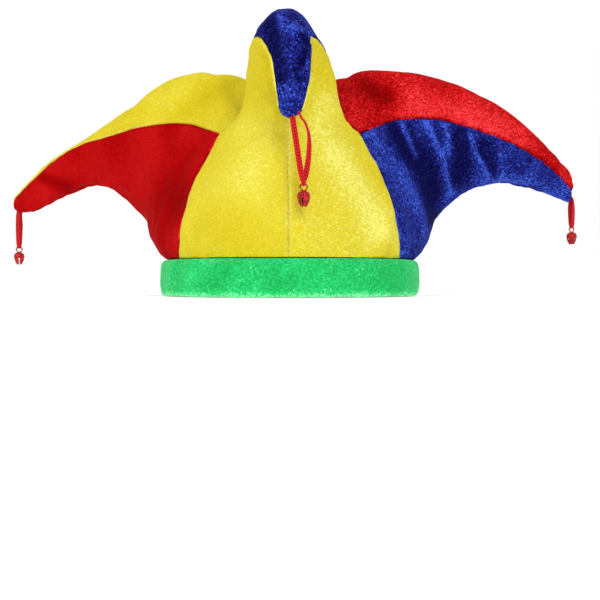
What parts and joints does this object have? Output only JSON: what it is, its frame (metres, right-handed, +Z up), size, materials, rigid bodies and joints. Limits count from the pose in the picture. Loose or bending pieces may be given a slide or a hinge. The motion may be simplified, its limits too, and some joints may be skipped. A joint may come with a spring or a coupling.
{
  "type": "jester hat",
  "caption": "Velvet jester hat with a padded band, drooping panelled horns in contrasting colours, and a small jingle bell hung on a braid loop from each tip.",
  "frame": {"origin": "middle of the hat's bounding box at the bottom of the band, without the ribbons and bells", "axes": "+Z up out of the crown, -Y towards the front, where the middle horn hangs, +X to the viewer's right"},
  "size_m": [0.5012, 0.2217, 0.2087],
  "materials": {
    "velvet_yellow": "short-pile velvet with a pale sheen",
    "velvet_red": "short-pile velvet with a bright sheen",
    "velvet_blue": "short-pile velvet, dark with a light blue sheen",
    "velvet_green": "short-pile velvet over padding",
    "lining_black": "matt woven cloth",
    "braid_red": "flat braid with a slight lustre",
    "bell_red": "glossy red paint"
  },
  "bodies": {
    "root": {"band": "velvet_green", "front_horn_face_left": "velvet_yellow", "front_horn_face_right": "velvet_yellow", "front_horn_back": "velvet_blue", "left_horn_face_front": "velvet_red", "left_horn_face_back": "velvet_red", "left_horn_top": "velvet_yellow", "right_horn_face_front": "velvet_blue", "right_horn_face_back": "velvet_blue", "right_horn_top": "velvet_red", "lining": "lining_black", "front_ribbon": "braid_red", "front_bell": "bell_red", "left_ribbon": "braid_red", "left_bell": "bell_red", "right_ribbon": "braid_red", "right_bell": "bell_red"}
  },
  "joints": []
}
